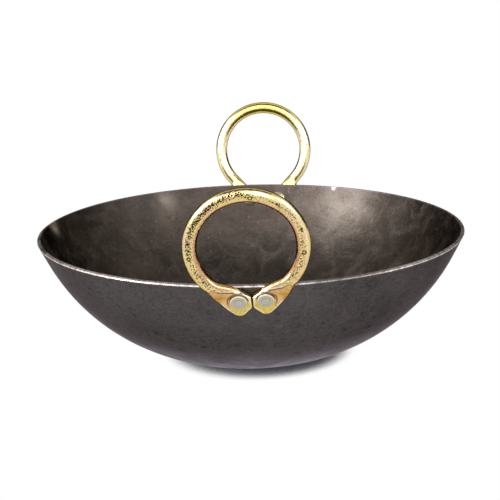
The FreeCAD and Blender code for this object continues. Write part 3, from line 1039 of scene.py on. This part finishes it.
def build_handle(name, sizes, material, seed):
    front = name == "front"
    plan = HandlePlan(*sizes)
    grid, layers = handle_grid(plan)
    turns = ring_turns(len(grid))
    pits = front_pits(grid) if front else back_pits(grid)
    grooves_and_shade = hammer_grooves_and_shade(grid, plan)
    forged = field(grid, forged_coarse[0], seed) * forged_coarse[1]
    forged += field(grid, forged_fine[0], seed + 5) * forged_fine[1]
    shaped = grid + outward_normals(grid) * (forged - pits.depth - groove_depth * grooves_and_shade)[:, :, None]
    # pits, and painted shade in the grooves round the rivet heads
    layers["pits_and_crevice_shade"] = np.maximum(pits.dark, np.minimum(grooves_and_shade, mark_darkness))
    layers["speckled"] = speckled_band(turns) * (1.0 if front else back_density)
    # painted highlight: a band beside the front ring's speckles, and both sides of the back ring
    layers["painted_highlight"] = painted_highlight_strength * (painted_highlight_band(turns) if front else painted_highlight_sides(turns))
    if not front:
        # the back ring gets less of the painted reflection on its inner side, and is yellow at its top
        # and legs
        layers["inner"] = layers["inner"] * 0.3
        layers["end"] = np.maximum(layers["end"], 1 - painted_highlight_sides(turns))
    piece = closed_piece(name + "_ring", shaped, layers, material)
    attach(piece, "root")
    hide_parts(name + "_handle")
    return plan


# Rivets

def rivet_profile():
    """Rows from the middle of the outer head to the middle of the inner head.

    Each row is a radius, a height over the wall, how dark it is drawn, with ring marks on the face and
    painted shade in the crevice at the seat, and how near it lies to the head's edge.
    """
    seat = 2 * seat_clearance + lug_thickness
    top = seat + outer_head_height
    rows = []
    for share in np.linspace(0.06, 1.0, head_rows):
        ripple = math.sin(share * ripple_turn)
        height = top - face_drop * (1.0 + 1.6 * share ** 3) + ripple_height * ripple
        mark = max(0.0, -ripple) ** 3 * 0.7 if share > 0.35 else 0.0
        rows.append((outer_head_top_radius * share, height, mark, share ** 10))
    bevel_top = height
    # the bevel darkens towards the seat and is darkest at it: painted shade in the crevice by the lug
    for turn in np.linspace(0.15, 1.0, 8):
        angle = turn * math.pi / 2
        radius = outer_head_top_radius + (outer_head_radius - outer_head_top_radius) * math.sin(angle)
        height = bevel_top - (bevel_top - seat) * (1 - math.cos(angle))
        rows.append((radius, height, 0.9 * turn ** 3, 1.0))
    rows.append((shank_radius, seat, 1.0, 1.0))
    hollow = inner_head_radius ** 2 / (2 * rim_radius)
    inner_seat = -wall_thickness - hollow - seat_clearance
    rows.append((shank_radius, inner_seat, 1.0, 0.0))
    dome = (inner_head_radius ** 2 + inner_head_height ** 2) / (2 * inner_head_height)
    widest = math.asin(inner_head_radius / dome)
    for angle in np.linspace(widest, widest * 0.06, 20):
        height = inner_seat - inner_head_height + dome * (1 - math.cos(angle))
        rows.append((dome * math.sin(angle), height, 0.0, 1.0))
    return [np.array(column)[:, None] for column in zip(*rows)]


def build_rivet(name, place, material, seed):
    radii, heights, marks, edges = rivet_profile()
    turns = np.linspace(0.0, 2 * math.pi, rivet_columns, endpoint=False)
    around = np.cos(turns)[:, None] * place.side + np.sin(turns)[:, None] * place.uphill
    grid = place.point + radii[..., None] * around + heights[..., None] * place.normal
    blows = field(grid, blow_size, seed) * blow_height
    outline = field(grid, outline_size, seed + 2) * outline_height * (radii / outer_head_radius) ** 3
    grid = grid + place.normal * blows[:, :, None] + around * outline[:, :, None]
    # the upper edge of the outer head gets a painted highlight, and the ring marks and the painted shade
    # at its seat fade below
    over = stepped(np.sin(turns), -0.2, 0.6)
    bevel_highlight = faded(radii - outer_head_top_radius, bevel_highlight_width) * (heights > lug_thickness)
    tarnish = 0.0 if name == untarnished_rivet else inner_tarnish
    layers = {
        "mark": np.where(heights > 0, marks * (0.6 + 0.4 * over), tarnish),
        "edge": np.repeat(edges, rivet_columns, axis=1),
        "edge_painted_highlight": bevel_highlight * over,
    }
    piece = closed_piece(name + "_heads", grid, layers, material)
    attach(piece, "root")
    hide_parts(name)


# Studio

def background_mask(tree):
    """1 for rays that look at the background: from the camera, by reflection or through glass."""
    path = add(tree, "LightPath")
    seen = maths(tree, "MAXIMUM", path.outputs["Is Camera Ray"], path.outputs["Is Glossy Ray"])
    return maths(tree, "MAXIMUM", seen, path.outputs["Is Transmission Ray"])


def flat_sheet(name, width, height, material):
    mesh = bpy.data.meshes.new(name)
    corners = [(x * width / 2, y * height / 2, 0.0) for x, y in ((-1, -1), (1, -1), (1, 1), (-1, 1))]
    mesh.from_pydata(corners, [], [(0, 1, 2, 3)])
    mesh.materials.append(material)
    return new_object(name, mesh)


def build_floor():
    """White paper with a soft contact shadow, drawn out to the right by light from the left."""
    material, tree = begin_material("white_floor")
    lit_from = add(tree, "CombineXYZ", dict(enumerate(shadow_lean))).outputs[0]
    inputs = {"Distance": shadow_reach, "Normal": lit_from}
    near = add(tree, "AmbientOcclusion", inputs, samples=16).outputs["AO"]
    shade = mixed(tree, ranged(tree, near, 0.15, 0.375), shadow_grey, white)
    # reflections show the floor without this shadow
    shade = mixed(tree, add(tree, "LightPath").outputs["Is Camera Ray"], white, shade)
    paper = add(tree, "BsdfDiffuse", {"Color": (0.8, 0.8, 0.8, 1.0)})
    glow = add(tree, "Emission", {"Color": shade, "Strength": 1.0})
    both = add(tree, "MixShader", {0: background_mask(tree), 1: paper.outputs[0], 2: glow.outputs[0]})
    add(tree, "OutputMaterial", {"Surface": both.outputs[0]})
    floor = flat_sheet("floor", floor_size, floor_size, material)


def build_world():
    world = bpy.data.worlds.new("studio")
    bpy.context.scene.world = world
    world.use_nodes = True
    tree = world.node_tree
    tree.nodes.clear()
    room = add(tree, "Background", {"Color": (0.95, 0.97, 1.0, 1.0), "Strength": room_light})
    backdrop = add(tree, "Background", {"Color": (1.0, 1.0, 1.0, 1.0), "Strength": 1.0})
    both = add(tree, "MixShader", {0: background_mask(tree), 1: room.outputs[0], 2: backdrop.outputs[0]})
    add(tree, "OutputWorld", {"Surface": both.outputs[0]})


def aimed(place, aim):
    """The rotation of a lamp or card that stands at this place and faces the aim."""
    return (aim - Vector(place)).to_track_quat("-Z", "Y").to_euler()


def build_card(name, place, size):
    """A dark card beside the set, which only the metal's reflections show."""
    material, tree = begin_material(name)
    dark = add(tree, "BsdfDiffuse", {"Color": (0.03, 0.03, 0.03, 1.0)})
    add(tree, "OutputMaterial", {"Surface": dark.outputs[0]})
    card = flat_sheet(name, *size, material)
    card.location = place
    card.rotation_euler = aimed(place, Vector())
    card.visible_camera = False
    card.visible_diffuse = False
    card.visible_shadow = False


def build_lamp(name, place, size, level):
    light = bpy.data.lights.new(name, "AREA")
    light.shape = "RECTANGLE"
    light.size, light.size_y = size
    light.energy = level * math.pi * size[0] * size[1]
    lamp = new_object(name, light)
    lamp.location = place
    lamp.rotation_euler = aimed(place, lamp_aim)
    lamp.visible_camera = False


def build_camera():
    data = bpy.data.cameras.new("camera")
    data.lens = camera_lens
    data.sensor_width = sensor_width
    camera = new_object("camera", data)
    camera.location = camera_place
    level = math.cos(camera_elevation)
    sideways, ahead = -math.sin(camera_azimuth), math.cos(camera_azimuth)
    look = Vector((level * sideways, level * ahead, -math.sin(camera_elevation)))
    camera.rotation_mode = "QUATERNION"
    camera.rotation_quaternion = look.to_track_quat("-Z", "Y") @ Quaternion((0, 0, 1), camera_roll)
    bpy.context.scene.camera = camera


build_bowl(steel_material())
gold = gold_material()
grey = rivet_material()
for index, (handle, sizes) in enumerate(handle_plans.items()):
    plan = build_handle(handle, sizes, gold, seed=11 + index)
    for sign, side in ((-1, "left"), (1, "right")):
        build_rivet(f"{handle}_{side}_rivet", plan.rivets[sign], grey, seed=21 + 2 * index + sign)
build_floor()
build_world()
for name, values in lamps.items():
    build_lamp(name, *values)
for name, values in cards.items():
    build_card(name, *values)
build_camera()
bpy.context.scene.view_settings.view_transform = "Standard"
